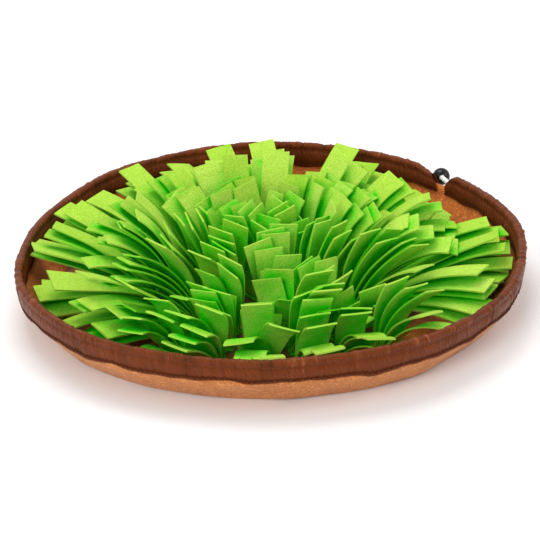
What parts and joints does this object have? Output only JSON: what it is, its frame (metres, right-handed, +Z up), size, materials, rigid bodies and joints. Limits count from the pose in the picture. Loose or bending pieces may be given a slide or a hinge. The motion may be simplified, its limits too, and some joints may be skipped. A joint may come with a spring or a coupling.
{
  "type": "snuffle mat",
  "caption": "Round snuffle mat: a shallow cloth dish with a ruched drawcord rim, filled with rings of felt strip bunches that hide treats.",
  "frame": {"origin": "on the surface that the mat stands on, under the middle of its rim's box", "axes": "+Z up out of the dish; -Y towards the front, opposite the cord lock's side; +X to the right, seen from the front"},
  "size_m": [0.473, 0.4857, 0.0956],
  "materials": {
    "tan_suede": "tan brushed microsuede, matt with a short nap",
    "brown_nylon": "dark brown thin satin nylon, finely ruched",
    "green_felt": "lime green needle felt, matt",
    "black_plastic": "glossy black moulded plastic",
    "white_cord": "white braided round cord"
  },
  "bodies": {
    "root": {"base_cloth": "tan_suede", "cord_knot": "white_cord", "cord_lock": "black_plastic", "draw_cord": "white_cord", "felt_centre_01": "green_felt", "felt_centre_02": "green_felt", "felt_centre_03": "green_felt", "felt_centre_04": "green_felt", "felt_front_01": "green_felt", "felt_front_02": "green_felt", "felt_front_03": "green_felt", "felt_front_04": "green_felt", "felt_front_05": "green_felt", "felt_front_06": "green_felt", "felt_outer_01": "green_felt", "felt_outer_02": "green_felt", "felt_outer_03": "green_felt", "felt_outer_04": "green_felt", "felt_outer_05": "green_felt", "felt_outer_06": "green_felt", "felt_outer_07": "green_felt", "felt_outer_08": "green_felt", "felt_outer_09": "green_felt", "felt_outer_10": "green_felt", "felt_outer_11": "green_felt", "felt_outer_12": "green_felt", "felt_outer_13": "green_felt", "felt_outer_14": "green_felt", "felt_outer_15": "green_felt", "felt_outer_16": "green_felt", "felt_outer_17": "green_felt", "felt_outer_18": "green_felt", "felt_outer_19": "green_felt", "felt_outer_20": "green_felt", "felt_outer_21": "green_felt", "felt_outer_22": "green_felt", "felt_second_01": "green_felt", "felt_second_02": "green_felt", "felt_second_03": "green_felt", "felt_second_04": "green_felt", "felt_second_05": "green_felt", "felt_second_06": "green_felt", "felt_second_07": "green_felt", "felt_second_08": "green_felt", "felt_second_09": "green_felt", "felt_second_10": "green_felt", "felt_second_11": "green_felt", "felt_second_12": "green_felt", "felt_second_13": "green_felt", "felt_second_14": "green_felt", "felt_third_01": "green_felt", "felt_third_02": "green_felt", "felt_third_03": "green_felt", "felt_third_04": "green_felt", "felt_third_05": "green_felt", "felt_third_06": "green_felt", "felt_third_07": "green_felt", "felt_third_08": "green_felt", "felt_third_09": "green_felt", "rim_channel": "brown_nylon"}
  },
  "joints": []
}
